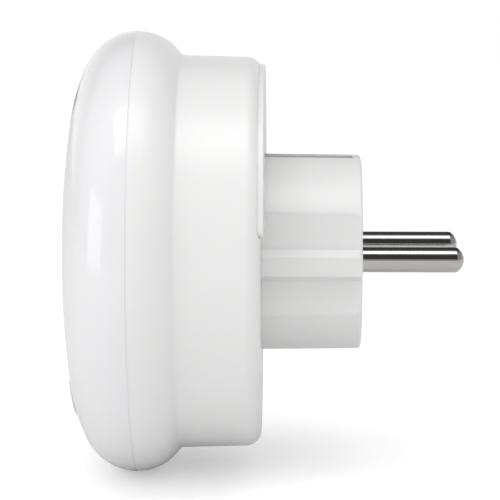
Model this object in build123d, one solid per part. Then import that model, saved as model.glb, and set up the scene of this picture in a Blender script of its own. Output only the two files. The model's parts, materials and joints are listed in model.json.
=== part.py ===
from build123d import *
from math import asin, copysign, cos, degrees, radians, sin, sqrt
import os

# A plug-in power meter: a round case with a two-pin earthed plug on its back and a matching socket
# in its domed front. Lengths are in millimetres. +X points into the wall socket, +Z is up, and the
# origin is the middle of the plug's nose. A station is a place along X, and it grows towards the wall.

# Clearances
fit_gap = 0.04        # a screw or pin in its hole, radially
plunger_gap = 0.08    # a switch plunger in its hole, radially
seat_gap = 0.1        # one fixed piece let into another
slide_gap = 0.2       # round a button, the shutter or the battery cover

# Plug
pin_radius = 2.4
pin_length = 19.0
pin_spacing = 19.0
pin_tip_sphere = 2.75
pin_seat_radius = 2.6     # in the nose wall
pin_collar_radius = 3.4
pin_collar_depth = 1.6
pin_tail_radius = 1.6
pin_tail_depth = 5.4
plug_radius = 18.6
plug_nose_radius = 18.4
plug_depth = 18.65
plug_cavity_radius = 13.5
plug_sleeve_radius = 16.2
nose_wall = 3.0
nose_rounding = 0.7
flat_reach = 16.1
rib_reach = 18.2
rib_half_top = 1.75
rib_half_foot = 2.8
flange_lip = 2.2
flange_depth = 2.5

# Earth clips
clip_width = 4.8
clip_thickness = 0.6
clip_reach = 17.3         # from the axis to the clip's inner face
clip_slot_width = 5.6
clip_slot_height = 1.1
clip_setback = 1.5        # behind the nose, and behind the socket's rim
clip_bow = 1.3

# Case
wall = 2.2
rear_depth = 23.2         # rear wall to seam
rear_inset = 4.85         # the rear wall's edge inside the rim
rear_rounding = 3.0
neck_draft = 0.4
neck_rounding = 0.8
rim_radius = 41.65        # rear housing at the seam
bulge_arc = 9.4
front_proud = 0.1         # front cover beyond the rear housing at the seam
rim_land = 0.15
rim_arc = 10.4
rim_turn = 62
shoulder_arc = 26.0
shoulder_turn = 19
seam_chamfer = 0.25
lip_wall = 1.0
lip_reach = 1.6
lip_root = 2.8
lip_gap = 0.12

# Socket
well_bore = 19.7
well_wall = 1.6
well_setback = 0.15       # behind the dome
well_collar = 1.9
well_collar_depth = 1.2
socket_depth = 17.6
socket_floor = 2.5
socket_hole_radius = 2.75
key_reach = 16.7
key_low = 3.4
key_high = 7.8
key_setback = 2.5
well_edge = 0.4

# Shutter
shutter_thickness = 2.6
shutter_half_width = 13.4
shutter_below = 7.0
shutter_above = 9.4
shutter_travel = 5.5
shutter_hole_radius = 3.0
spring_radius = 1.15
spring_wire = 0.15
spring_length = 8.8
spring_turns = 9
spring_slot_half = 1.8

# Contacts and carrier
carrier_depth = 3.6
carrier_step = 0.5        # inside the socket's wall
contact_wall = 0.75
contact_play = 0.05
contact_slit = 0.8
contact_collar_radius = 3.9
contact_collar_depth = 1.0
contact_end = 0.8
contact_run_out = 0.5
strap_thickness = 0.8
strap_width = 3.0
strap_height = 5.7
strap_gap = 0.9           # outside the socket's wall
strap_inset = 0.8         # from the carrier's back to a strap
ear_thickness = 2.0
ear_radius = 3.1
carrier_screw_step = 5.1  # outside the carrier
carrier_screw_angle = -26.4
carrier_boss_radius = 2.6

# Circuit board
board_thickness = 1.6
board_behind_seam = 0.05
board_bore_gap = 0.7
board_edge_gap = 0.45
case_screw_inset = 5.9
case_screw_angles = (5.6, -45.0)
board_screw_inset = 2.3
board_screw_angles = (35.0, -68.0)
case_boss_radius = 4.1
spigot_radius = 3.0
spigot_reach = 0.7
board_boss_radius = 2.2

# Display
window_inner_margin = 3.3   # from the socket's wall
window_outer_margin = 8.15  # from the front cover's edge
window_half_angle = 27
window_rounding = 1.5
window_flange = 0.8
window_lap = 1.1
window_edge = 0.12
lcd_side_margin = 1.3       # beyond the window's lower corners
lcd_low_margin = 1.8
lcd_high_margin = 8.65
lcd_thickness = 2.0
lcd_gap = 0.4             # behind the window's flange at the glass's corners
lcd_frame_wall = 1.2
lcd_ledge = 0.8
lcd_frame_rounding = 3.0
connector_width = 1.6

# Buttons
button_inner_margin = 4.2
button_outer_margin = 10.25
button_angle = 24
button_half_angle = 8.5
button_rounding = 1.6
button_proud = 0.3
button_edge = 0.3
button_depth = 3.2
button_flange = 1.0
button_lap = 1.0
button_travel = 0.5
stem_radius = 1.6
switch_size = 6.0
switch_height = 3.5
switch_floor = 0.4
plunger_radius = 1.7
plunger_height = 5.0

# Battery compartment and cover
cover_inset = 1.3         # inside the rear wall's edge
cover_low = 7.8
cover_thickness = 1.6
cover_proud = 0.55
cover_rounding = 1.2
cover_edge = 0.4
cover_notch_gap = 0.5
cover_screw_inset = 6.9
cover_screw_angle = 38.2
cell_height = 5.4
cell_gap = 0.15
cell_wall = 0.95
cell_rib = 1.3            # between the two pockets
bridge_thickness = 0.4
bridge_half_width = 2.2
bridge_half_length = 10.0
battery_spring_radius = 3.2
battery_spring_wire = 0.25
battery_spring_length = 2.2
battery_spring_turns = 2.5
battery_spring_foot = 4.2
battery_lead_radius = 0.5

# Components on the board's back. Each margin is what the component leaves of the ring-shaped room
dropper_height = 12.0
dropper_width = 18.0
dropper_margin = 4.2
dropper_rounding = 0.8
can_height = 10.0
can_margin = 4.4
can_rounding = 0.5
can_angle = 28.0
varistor_margin = 2.6
varistor_depth = 3.6
varistor_stand = 1.2
varistor_angle = 152.0
leg_radius = 0.35
fuse_margin = 4.6
fuse_height = 7.7
fuse_step = 0.6
fuse_angle = 203.0
shunt_length = 10.0
shunt_height = 6.0
shunt_gap = 2.8
chip_height = 1.5
chip_width = 9.0
chip_depth = 4.0
chip_lead = 0.9
controller_height = 1.0
controller_side = 4.4
crystal_height = 3.4
crystal_width = 3.8
crystal_margin = 4.0
crystal_rounding = 1.8
crystal_side = 9.6
resistor_radius = 1.2
resistor_margin = 6.6
resistor_lead = 1.2
resistor_wire = 0.42        # radius
resistor_sides = (-9.0, -12.2)

# Screws: head radius, head height, shank radius, shank length
case_screw = (2.7, 1.9, 1.45, 27.5)
cover_screw = (2.2, 0.9, 1.0, 6.5)
carrier_screw = (2.2, 1.4, 1.1, 7.0)
board_screw = (1.8, 1.3, 0.9, 5.5)
case_head_recess = 0.4
cover_head_recess = 0.1
recess_width = 0.7
recess_depth_share = 0.5

# Radii that follow from the ones above
front_radius = rim_radius + front_proud
rear_radius = rim_radius - rear_inset
neck_radius = rear_radius + neck_draft
cover_radius = rear_radius - cover_inset
flange_radius = plug_radius + flange_lip
well_outer = well_bore + well_wall
carrier_radius = well_outer - carrier_step
strap_reach = well_outer + strap_gap
board_inner_radius = well_outer + board_bore_gap
window_inner = well_outer + window_inner_margin
window_outer = front_radius - window_outer_margin
lcd_low = well_outer + lcd_low_margin
lcd_high = front_radius - lcd_high_margin
lcd_half_width = window_inner * sin(radians(window_half_angle)) + lcd_side_margin
button_inner = well_outer + button_inner_margin
button_outer = front_radius - button_outer_margin

# The ring-shaped room between the socket and the case holds the components
room = rear_radius - wall - board_inner_radius
room_middle = board_inner_radius + room / 2
cell_room = rear_radius - wall - flange_radius
cell_radius = cell_room / 2 - cell_gap - cell_wall
cell_side = cell_radius + cell_gap + cell_rib / 2
cell_height_above = sqrt((flange_radius + cell_room / 2) ** 2 - cell_side ** 2)
cell_places = ((cell_side, cell_height_above), (-cell_side, cell_height_above))

# Stations of the faces that carry the rest
rear_face = -plug_depth
rear_inside = rear_face - wall
flange_face = rear_inside - flange_depth
seam = rear_face - rear_depth
board_back = seam - board_behind_seam
board_front = board_back - board_thickness
cover_face = rear_face + cover_proud
cover_seat = cover_face - cover_thickness

# The dome's outline is three tangent arcs: rim, shoulder and crown
crown_turn = 90 - rim_turn - shoulder_turn
rim_end = Vector(cos(radians(90 + rim_turn)), sin(radians(90 + rim_turn)))
crown_start = Vector(-cos(radians(crown_turn)), sin(radians(crown_turn)))
rim_centre = Vector(seam - rim_land, front_radius - rim_arc)
shoulder_centre = rim_centre + rim_end * (rim_arc - shoulder_arc)
crown_arc = shoulder_arc + shoulder_centre.Y / sin(radians(crown_turn))
crown_centre = shoulder_centre + crown_start * (shoulder_arc - crown_arc)


def crown_station(radius, inset):
    """The dome's station at a distance from the axis, on the crown moved inwards by inset."""
    return crown_centre.X - sqrt((crown_arc - inset) ** 2 - radius ** 2)


# Stations of the socket, counted back from the dome
well_rim = crown_station(well_outer, 0) + well_setback
collar_face = crown_station(well_outer + well_collar, wall) + well_collar
floor_front = well_rim + socket_depth
floor_back = floor_front + socket_floor
carrier_front = floor_back + shutter_thickness + 2 * slide_gap
carrier_back = carrier_front + carrier_depth
contact_stop = floor_front + pin_length + contact_run_out
contact_radius = pin_radius + contact_play + contact_wall
contact_front = carrier_front + slide_gap
pin_offset = pin_spacing / 2
pin_tail_end = -nose_wall - pin_collar_depth - pin_tail_depth
lip_radius = rim_centre.Y + sqrt((rim_arc - wall) ** 2 - lip_reach ** 2) - lip_gap
board_outer_radius = lip_radius - lip_wall - board_edge_gap
cell_top = cover_seat - bridge_thickness
cell_bottom = cell_top - cell_height
pocket_floor = cell_bottom - battery_spring_length
button_middle = (button_inner + button_outer) / 2
button_places = {"mode": -90, "up": -90 - button_angle, "down": -90 + button_angle}
plunger_front = board_front - plunger_height
shutter_back = floor_back + slide_gap


def polar(radius, angle):
    return radius * cos(radians(angle)), radius * sin(radians(angle))


def both_sides(radius, angles):
    """Places on the +Y side at these angles, each followed by its mirror image on the -Y side."""
    right = [polar(radius, angle) for angle in angles]
    return right + [(-y, z) for y, z in right]


case_screw_places = both_sides(rear_radius - case_screw_inset, case_screw_angles)
board_screw_places = both_sides(board_outer_radius - board_screw_inset, board_screw_angles)
carrier_screw_places = both_sides(carrier_radius + carrier_screw_step, [carrier_screw_angle])
cover_screw_places = both_sides(rear_radius - cover_screw_inset, [cover_screw_angle])
window_shape = (window_inner, window_outer, 90, window_half_angle, window_rounding)


def button_shape(angle):
    corner = min(button_rounding, (button_outer - button_inner) / 3)
    return button_inner, button_outer, angle, button_half_angle, corner


def rod(radius, start, end, y=0, z=0):
    disc = Plane.YZ.offset(start) * Pos(y, z) * Circle(radius)
    return extrude(disc, amount=end - start)


def tube(outer, inner, start, end, y=0, z=0):
    return rod(outer, start, end, y, z) - rod(inner, start, end, y, z)


def block(start, end, left, right, low, high):
    middle = Pos((start + end) / 2, (left + right) / 2, (low + high) / 2)
    return middle * Box(abs(end - start), abs(right - left), abs(high - low))


def mirrored_block(start, end, left, right, low, high, side):
    """A block whose y limits are given for the +Y side and carried to the side asked for."""
    return block(start, end, side * left, side * right, low, high)


def sector_face(inner, outer, centre, half, rounding):
    outside = CenterArc((0, 0), outer, centre - half, 2 * half)
    inside = CenterArc((0, 0), inner, centre - half, 2 * half)
    ends = Line(outside @ 0, inside @ 0) + Line(outside @ 1, inside @ 1)
    face = make_face(outside + inside + ends)
    return fillet(face.vertices(), rounding)


def sector(inner, outer, centre, half, rounding, start, end):
    face = Plane.YZ.offset(start) * sector_face(inner, outer, centre, half, rounding)
    return extrude(face, amount=end - start)


def grown_sector(inner, outer, centre, half, rounding, grow, start, end):
    """A sector with every side moved outwards by grow."""
    turn = degrees(grow / ((inner + outer) / 2))
    return sector(inner - grow, outer + grow, centre, half + turn, rounding + grow, start, end)


def dome(inset):
    """Everything inside the front cover's outer surface, moved inwards by inset."""
    rim = CenterArc(rim_centre, rim_arc - inset, 90, rim_turn)
    shoulder = CenterArc(shoulder_centre, shoulder_arc - inset, 90 + rim_turn, shoulder_turn)
    crown = CenterArc(crown_centre, crown_arc - inset, 180 - crown_turn, crown_turn)
    base = Polyline(crown @ 1, (seam, 0), (seam, front_radius - inset), rim @ 0)
    return revolve(make_face(rim + shoulder + crown + base), Axis.X)


def edges_outside(shapes, combined, inset):
    """The edges made by combining shapes that lie outside the dome moved inwards by inset."""
    core = dome(inset)
    return [edge for edge in new_edges(*shapes, combined=combined) if not core.is_inside(edge @ 0.5)]


def rear_form(inset):
    """Everything inside the rear housing's outer surface, moved inwards by inset."""
    bulge_centre = rim_radius - bulge_arc
    turn = 90 - degrees(asin((neck_radius - inset - bulge_centre) / (bulge_arc - inset)))
    bulge = JernArc((seam, rim_radius - inset), (1, 0), bulge_arc - inset, -turn)
    back = rear_face - inset
    corner = (back, rear_radius - inset)
    side = Polyline(bulge @ 1, corner, (back, 0), (seam, 0), bulge @ 0)
    face = make_face(bulge + side)
    face = fillet(face.vertices().sort_by_distance(bulge @ 1)[0], neck_rounding + inset)
    face = fillet(face.vertices().sort_by_distance(corner)[0], rear_rounding - inset)
    return revolve(face, Axis.X)


def plug_section(gap):
    """The plug's cross-section: a disc with a flat and a central rib on each pin's side."""
    face = Circle(plug_radius + gap) & Rectangle(2 * (flat_reach + gap), 3 * plug_radius)
    foot, top = rib_half_foot + gap, rib_half_top + gap
    root, peak = flat_reach - wall, rib_reach + gap
    rib = Polygon(
        (root, -foot), (flat_reach, -foot), (peak, -top), (peak, top), (flat_reach, foot), (root, foot),
        align=None,
    )
    return face + rib + Rot(0, 0, 180) * rib


def screw(size, seat, y, z, side):
    """A pan-head screw with a cross recess. Its head lies on the seat's +X side when side is 1."""
    head_radius, head_height, shank_radius, shank_length = size
    top = seat + side * head_height
    head = rod(head_radius, seat, top, y, z)
    head = fillet(head.edges().group_by(Axis.X)[-1 if side == 1 else 0], head_height / 3)
    recess = top - side * head_height * recess_depth_share
    half, arm = recess_width / 2, head_radius * 0.6
    cross = block(recess, top, y - half, y + half, z - arm, z + arm)
    cross += block(recess, top, y - arm, y + arm, z - half, z + half)
    shank = rod(shank_radius, seat - side * shank_length, seat, y, z)
    return head - cross + shank


def screws(size, seat, places, side):
    return [screw(size, seat, y, z, side) for y, z in places]


def coil(radius, wire, length, turns, origin, direction):
    """A spring whose wire lies inside the length given, from the origin along the direction."""
    axis = Vector(direction)
    rise = length - 2 * wire
    path = Helix(rise / turns, rise, radius, center=Vector(origin) + axis * wire, direction=direction)
    section = Plane(path @ 0, z_dir=path % 0) * Circle(wire)
    return sweep(section, path, is_frenet=True)


def clip_slots(start, end):
    """Openings for both earth clips, cut square through a wall."""
    half = clip_slot_width / 2
    low = clip_reach - (clip_slot_height - clip_thickness) / 2
    slots = [block(start, end, -half, half, s * low, s * (low + clip_slot_height)) for s in (1, -1)]
    return slots[0] + slots[1]


# Case

def front_cover():
    shell = dome(0) - dome(wall)
    shell = chamfer(shell.edges().group_by(Axis.X)[-1].sort_by(SortBy.RADIUS)[-1], seam_chamfer)
    front = well_rim - wall
    collar_radius = well_outer + seat_gap
    posts = tube(well_outer + well_collar, collar_radius, front, collar_face)
    for y, z in case_screw_places:
        posts += rod(case_boss_radius, front, board_front, y, z)
    for y, z in board_screw_places:
        posts += rod(board_boss_radius, front, board_front, y, z)
    cover = shell + (posts & dome(wall / 2))
    for y, z in case_screw_places:
        cover += rod(spigot_radius, board_front, board_back + spigot_reach, y, z)
        depth = rear_face - case_head_recess - case_screw[1] - case_screw[3] - seat_gap
        cover -= rod(case_screw[2] + fit_gap, depth, board_back + spigot_reach, y, z)
    for y, z in board_screw_places:
        depth = board_back - board_screw[3] - seat_gap
        cover -= rod(board_screw[2] + fit_gap, depth, board_front, y, z)
    middle = seam - front_radius
    openings = rod(collar_radius, front - wall, collar_face) + sector(*window_shape, middle, board_front)
    for angle in button_places.values():
        openings += sector(*button_shape(angle), middle, board_front)
    return cover - openings


def housing_shell():
    shell = rear_form(0) - rear_form(wall)
    shell += tube(lip_radius, lip_radius - lip_wall, seam - lip_reach, seam + lip_root)
    middle = wall / 2
    for y, z in case_screw_places:
        shell += rod(case_boss_radius, board_back, rear_face - middle, y, z)
    for y, z in carrier_screw_places:
        shell += rod(carrier_boss_radius, carrier_front + ear_thickness, rear_face - middle, y, z)
    for y, z in cover_screw_places:
        depth = cover_face - cover_screw[1] - cover_screw[3] - wall
        shell += rod(carrier_boss_radius, depth, cover_seat, y, z)
    pockets = pocket_floor - cell_wall
    low = min(z for y, z in cell_places) - cell_radius
    high = max(z for y, z in cell_places) + cell_radius
    right = max(y for y, z in cell_places)
    shell += block(pockets, rear_face - middle, -right, right, low, high)
    for y, z in cell_places:
        shell += rod(cell_radius + cell_gap + cell_wall, pockets, rear_face - middle, y, z)
    shell -= extrude(Plane.YZ.offset(cover_seat) * cover_face_shape(slide_gap), amount=wall)
    for y, z in cell_places:
        shell -= rod(cell_radius + cell_gap, pocket_floor, cover_seat, y, z)
        shell -= rod(battery_lead_radius + seat_gap, pockets, pocket_floor, y, z)
    half_length = bridge_half_length + slide_gap
    half_width = bridge_half_width + slide_gap
    height = cell_places[0][1]
    shell -= block(
        cover_seat - bridge_thickness - slide_gap, cover_seat,
        -half_length, half_length, height - half_width, height + half_width,
    )
    for y, z in case_screw_places:
        head = rear_face - case_head_recess - case_screw[1]
        shell -= rod(case_screw[0] + seat_gap, head, rear_face, y, z)
        shell -= rod(case_screw[2] + fit_gap, board_back, head, y, z)
        shell -= rod(spigot_radius + seat_gap, board_back, board_back + spigot_reach + seat_gap, y, z)
    for y, z in carrier_screw_places:
        seat = carrier_front + carrier_screw[3] + seat_gap
        shell -= rod(carrier_screw[2] + fit_gap, carrier_front, seat, y, z)
    for y, z in cover_screw_places:
        depth = cover_face - cover_screw[1] - cover_screw[3] - wall / 2
        shell -= rod(cover_screw[2] + fit_gap, depth, cover_seat, y, z)
    shell -= extrude(Plane.YZ.offset(rear_inside) * plug_section(seat_gap), amount=wall)
    return shell


def cover_face_shape(gap):
    """The battery cover's outline: a disc's upper part with a notch round the plug."""
    notch = plug_radius + cover_notch_gap - gap
    disc = Circle(cover_radius + gap)
    upper = Pos(0, cover_low - gap + cover_radius) * Rectangle(3 * cover_radius, 2 * cover_radius)
    face = (disc & upper) - Circle(notch)
    return fillet(face.vertices(), cover_rounding)


def battery_cover():
    plate = extrude(Plane.YZ.offset(cover_seat) * cover_face_shape(0), amount=cover_thickness)
    plate = fillet(plate.faces().sort_by(Axis.X)[-1].edges(), cover_edge)
    for y, z in cover_screw_places:
        seat = cover_face - cover_head_recess - cover_screw[1]
        plate -= rod(cover_screw[0] + seat_gap, seat, cover_face, y, z)
        plate -= rod(cover_screw[2] + fit_gap, cover_seat, seat, y, z)
    return plate


def battery_bridge():
    y, z = cell_places[0]
    return block(
        cover_seat - bridge_thickness, cover_seat,
        -bridge_half_length, bridge_half_length, z - bridge_half_width, z + bridge_half_width,
    )


def button_cells():
    return [
        rod(cell_radius, cell_bottom + cell_gap, cell_top, y, z)
        + rod(cell_radius - cell_wall, cell_bottom, cell_bottom + cell_gap, y, z)
        for y, z in cell_places
    ]


def battery_springs():
    springs = []
    for y, z in cell_places:
        wire = coil(
            battery_spring_radius, battery_spring_wire, battery_spring_length,
            battery_spring_turns, (pocket_floor, y, z), (1, 0, 0),
        )
        foot = rod(battery_spring_foot, pocket_floor, pocket_floor + battery_spring_wire, y, z)
        lead = rod(battery_lead_radius, board_back, pocket_floor, y, z)
        springs.append(wire + foot + lead)
    return springs


# Plug, pins and earth

def plug_body():
    body = extrude(Plane.YZ.offset(flange_face) * plug_section(0), amount=-flange_face)
    corners = ((flange_face, 0), (flange_face, plug_radius), (rear_face, plug_radius),
               (0, plug_nose_radius), (0, 0))
    body = body & revolve(make_face(Polyline(*corners, close=True)), Axis.X)
    nose = body.faces().sort_by(Axis.X)[-1]
    body = fillet(nose.edges(), nose_rounding)
    body += rod(flange_radius, flange_face, rear_inside)
    body += rod(plug_sleeve_radius, carrier_back, flange_face)
    body -= rod(plug_cavity_radius, carrier_back, -nose_wall)
    half = clip_slot_width / 2
    for side in (1, -1):
        body -= block(rear_inside, 0, -half, half, side * clip_reach, side * (plug_radius + wall))
        body -= rod(pin_seat_radius, -nose_wall, 0, side * pin_offset)
        exits = strap_height - seat_gap, strap_height + strap_thickness + seat_gap
        reach = plug_sleeve_radius + seat_gap
        start = carrier_back + strap_inset - seat_gap
        end = carrier_back + strap_inset + strap_width + seat_gap
        body -= block(start, end, -reach, 0, side * exits[0], side * exits[1])
    body -= block(start, end, 0, reach, exits[0], exits[1])
    body -= clip_slots(flange_face, rear_inside)
    return body


def plug_pin(side):
    """A pin with a domed tip, a collar behind the nose wall and a tail for its strap."""
    tip = CenterArc(
        (pin_length - pin_tip_sphere, 0), pin_tip_sphere, 0, degrees(asin(pin_radius / pin_tip_sphere))
    )
    collar = -nose_wall - pin_collar_depth
    rest = Polyline(
        tip @ 1, (0, pin_radius), (0, pin_seat_radius), (-nose_wall, pin_seat_radius),
        (-nose_wall, pin_collar_radius), (collar, pin_collar_radius), (collar, pin_tail_radius),
        (pin_tail_end, pin_tail_radius), (pin_tail_end, 0), tip @ 0,
    )
    return Pos(0, side * pin_offset, 0) * revolve(make_face(tip + rest), Axis.X)


def earth_clip(side):
    """A strip from the socket's rim, where it bows inwards, through to the plug's nose."""
    start = well_rim + clip_setback
    bow_end = floor_front - clip_setback
    bow = (start + bow_end) / 2
    line = Polyline((-clip_setback, 0), (bow_end, 0)) + ThreePointArc(
        (bow_end, 0), (bow, -clip_bow), (start, 0)
    )
    outer = Polyline((-clip_setback, clip_thickness), (bow_end, clip_thickness)) + ThreePointArc(
        (bow_end, clip_thickness), (bow, clip_thickness - clip_bow), (start, clip_thickness)
    )
    ends = Line(line @ 0, outer @ 0) + Line(line @ 1, outer @ 1)
    face = Plane.XZ.offset(-clip_width / 2) * Pos(0, clip_reach) * make_face(line + outer + ends)
    strip = extrude(face, amount=clip_width)
    return strip if side == 1 else mirror(strip, Plane.XY)


def earth_bridge():
    """A half hoop behind the plug's flange that joins the two clips."""
    end = flange_face
    start = end - strap_thickness
    inner = plug_sleeve_radius + seat_gap
    hoop = tube(clip_reach, inner, start, end)
    hoop -= block(start, end, -clip_reach - wall, -clip_width / 2, -clip_reach - wall, clip_reach + wall)
    half = clip_width / 2
    for side in (1, -1):
        hoop += block(start, end, -half, half, side * inner, side * clip_reach)
    return hoop - rod(inner, start, end)


# Socket

def socket_well():
    well = tube(well_outer, well_bore, well_rim, floor_back)
    well += rod(well_outer, floor_front, floor_back)
    well += tube(well_outer + well_collar, well_bore, collar_face, collar_face + well_collar_depth)
    reach = well_bore + well_wall / 2
    for side in (1, -1):
        well -= rod(socket_hole_radius, floor_front, floor_back, side * pin_offset)
        for low, high in ((key_low, key_high), (-key_high, -key_low)):
            key = mirrored_block(well_rim + key_setback, floor_front, key_reach, reach, low, high, side)
            well += key & rod(reach, well_rim, floor_front)
    well = fillet(well.edges().group_by(Axis.X)[0], well_edge)
    return well - clip_slots(floor_front, floor_back)


def socket_shutter():
    start, end = shutter_back, shutter_back + shutter_thickness
    plate = block(start, end, -shutter_half_width, shutter_half_width, -shutter_below, shutter_above)
    for side in (1, -1):
        plate -= rod(shutter_hole_radius, start, end, side * pin_offset, shutter_travel)
    return plate


def shutter_spring():
    middle = shutter_back + shutter_thickness / 2
    return coil(
        spring_radius, spring_wire, spring_length, spring_turns,
        (middle, 0, -shutter_below - spring_length), (0, 0, 1),
    )


def contact_carrier():
    body = rod(carrier_radius, floor_back, carrier_back)
    half = shutter_half_width + slide_gap
    bottom = -shutter_below - shutter_travel - slide_gap
    body -= block(floor_back, carrier_front, -half, half, bottom, shutter_above + slide_gap)
    slot = spring_slot_half
    body -= block(floor_back, carrier_front, -slot, slot, -shutter_below - spring_length, bottom)
    for y, z in carrier_screw_places:
        reach, angle = sqrt(y * y + z * z), degrees(asin(z / sqrt(y * y + z * z)))
        ear_end = carrier_front + ear_thickness
        arm = Rot(0, 0, angle if y > 0 else 180 - angle) * Pos(reach / 2, 0)
        arm_face = Plane.YZ.offset(carrier_front) * arm * Rectangle(reach, 2 * ear_radius)
        arm_solid = extrude(arm_face, amount=ear_thickness) - rod(carrier_radius - wall, floor_back, ear_end)
        body += arm_solid + rod(ear_radius, carrier_front, ear_end, y, z)
        body -= rod(carrier_screw[2] + seat_gap, carrier_front, ear_end, y, z)
    for side in (1, -1):
        body -= rod(contact_radius + seat_gap, carrier_front, carrier_back, side * pin_offset)
    return body - clip_slots(floor_back, carrier_back)


def contact(side):
    """A slit sleeve for the pin of a plug put into the socket, closed at its far end."""
    inner = pin_radius + contact_play
    sleeve = tube(contact_radius, inner, contact_front, contact_stop)
    sleeve += tube(contact_collar_radius, inner, carrier_back, carrier_back + contact_collar_depth)
    half = contact_slit / 2
    sleeve -= block(contact_front, contact_stop, -half, half, inner / 2, contact_collar_radius + wall)
    sleeve += rod(contact_radius, contact_stop, contact_stop + contact_end)
    return Pos(0, side * pin_offset, 0) * sleeve


def strap(side, level, start):
    """A strip from a pin's tail or contact's end, out through the plug's sleeve and to the board."""
    half = strap_width / 2
    near, far = pin_offset - half, pin_offset + half
    low, high = level * strap_height, level * (strap_height + strap_thickness)
    end = start + strap_thickness
    exit_start = carrier_back + strap_inset
    exit_end = exit_start + strap_width
    reach = strap_reach + strap_thickness
    piece = mirrored_block(start, end, near, far, -level * half, high, side)
    piece += mirrored_block(exit_start, end, near, far, low, high, side)
    piece += mirrored_block(exit_start, exit_end, near, reach, low, high, side)
    return piece + mirrored_block(
        board_back, exit_end, strap_reach, reach, high - level * strap_width, high, side
    )


def neutral_strap():
    start = contact_stop + contact_end
    half = strap_width / 2
    link = block(
        start, pin_tail_end, pin_offset - half, pin_offset + half, -strap_thickness / 2, strap_thickness / 2
    )
    return link + strap(1, 1, start)


# Circuit board and what stands on it

def main_board():
    board = tube(board_outer_radius, board_inner_radius, board_front, board_back)
    for y, z in case_screw_places:
        board -= rod(spigot_radius + seat_gap, board_front, board_back, y, z)
    for y, z in board_screw_places:
        board -= rod(board_screw[2] + seat_gap, board_front, board_back, y, z)
    return board


def switch_bodies():
    bodies = []
    half = switch_size / 2
    for angle in button_places.values():
        turn = Rot(angle, 0, 0)
        body = block(board_front - switch_height, board_front, button_middle - half, button_middle + half,
                     -half, half)
        body -= rod(plunger_radius + plunger_gap, board_front - switch_height,
                    board_front - switch_floor, button_middle)
        bodies.append(turn * body)
    return bodies


def plunger(angle):
    floor = board_front - switch_floor - button_travel - slide_gap
    return Rot(angle, 0, 0) * rod(plunger_radius, plunger_front, floor, button_middle)


def button(angle):
    front = seam - front_radius
    shape = button_shape(angle)
    column = grown_sector(*shape, -slide_gap, front, board_front)
    layer = dome(-button_proud) - dome(button_depth)
    cap = column & layer
    cap = fillet(edges_outside([column, layer], cap, 0), button_edge)
    skirt = grown_sector(*shape, button_lap, front, board_front)
    skirt &= dome(wall + slide_gap) - dome(wall + slide_gap + button_flange)
    stem = rod(stem_radius, crown_station(button_middle, wall), plunger_front, button_middle)
    return cap + skirt + Rot(angle, 0, 0) * stem


def display_window():
    front = seam - front_radius
    back = dome(wall + window_flange)
    column, layer = grown_sector(*window_shape, -seat_gap, front, board_front), dome(0) - back
    pane = column & layer
    pane = fillet(edges_outside([column, layer], pane, window_edge), window_edge)
    rim = grown_sector(*window_shape, window_lap, front, board_front) & (dome(wall) - back)
    return pane + rim


def corner_station():
    """Where the window's flange ends, above the display glass's corners."""
    radius = sqrt(lcd_half_width ** 2 + lcd_high ** 2)
    arc = rim_arc - wall - window_flange
    return rim_centre.X - sqrt(arc ** 2 - (radius - rim_centre.Y) ** 2)


lcd_front = corner_station() + lcd_gap
lcd_back = lcd_front + lcd_thickness


def lcd_glass():
    middle = (lcd_front + lcd_back) / 2
    step = connector_width
    front = block(lcd_front, middle, -lcd_half_width, lcd_half_width, lcd_low + step, lcd_high - step)
    return front + block(middle, lcd_back, -lcd_half_width, lcd_half_width, lcd_low, lcd_high)


def lcd_frame():
    across = lcd_half_width + lcd_frame_wall
    low, high = lcd_low - lcd_frame_wall, lcd_high + lcd_frame_wall
    frame = block(lcd_front, board_front, -across, across, low, high)
    frame = fillet(frame.edges().filter_by(Axis.X).group_by(Axis.Z)[-1], lcd_frame_rounding)
    side, gap, ledge = lcd_half_width, seat_gap, lcd_ledge
    frame -= block(lcd_front, lcd_back, -side - gap, side + gap, lcd_low - gap, lcd_high + gap)
    inner = side - ledge
    return frame - block(lcd_back, board_front, -inner, inner, lcd_low + ledge, lcd_high - ledge)


def lcd_connectors():
    inner = lcd_half_width - lcd_ledge - seat_gap
    low = lcd_low + lcd_ledge + seat_gap
    high = lcd_high - lcd_ledge - seat_gap
    return [
        block(lcd_back, board_front, -inner, inner, low, low + connector_width),
        block(lcd_back, board_front, -inner, inner, high - connector_width, high),
    ]


def on_board(height, width, depth, y, z):
    """A block standing on the back of the board."""
    return block(board_back, board_back + height, y - width / 2, y + width / 2, z - depth / 2, z + depth / 2)


def leg(y, z, length):
    return rod(leg_radius, board_back, board_back + length, y, z)


def dropper_capacitor():
    case = on_board(dropper_height, dropper_width, room - dropper_margin, 0, -room_middle)
    return fillet(case.edges().filter_by(Axis.X), dropper_rounding)


def smoothing_capacitor():
    can = rod((room - can_margin) / 2, board_back, board_back + can_height, *polar(room_middle, can_angle))
    return fillet(can.edges().group_by(Axis.X)[-1], can_rounding)


def varistor():
    y, z = polar(room_middle, varistor_angle)
    radius = (room - varistor_margin) / 2
    disc = Pos(board_back + varistor_stand + radius, y, z) * Cylinder(radius, varistor_depth)
    disc = fillet(disc.edges().filter_by(GeomType.CIRCLE), varistor_depth / 3)
    spread = radius / 2
    rise = varistor_stand + radius / 2
    return disc + leg(y - spread, z, rise) + leg(y + spread, z, rise)


def fuse():
    radius = (room - fuse_margin) / 2
    place = polar(room_middle, fuse_angle)
    base = rod(radius, board_back, board_back + fuse_height - fuse_step, *place)
    return base + rod(radius - fuse_step, board_back, board_back + fuse_height, *place)


def current_shunt():
    y, half = -board_inner_radius - shunt_gap, shunt_length / 2
    end = board_back + shunt_height
    bar = block(board_back, end, y - strap_thickness / 2, y + strap_thickness / 2, -half, half)
    gap = half - strap_thickness
    return bar - block(board_back, end - strap_thickness, y - strap_thickness, y + strap_thickness, -gap, gap)


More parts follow.
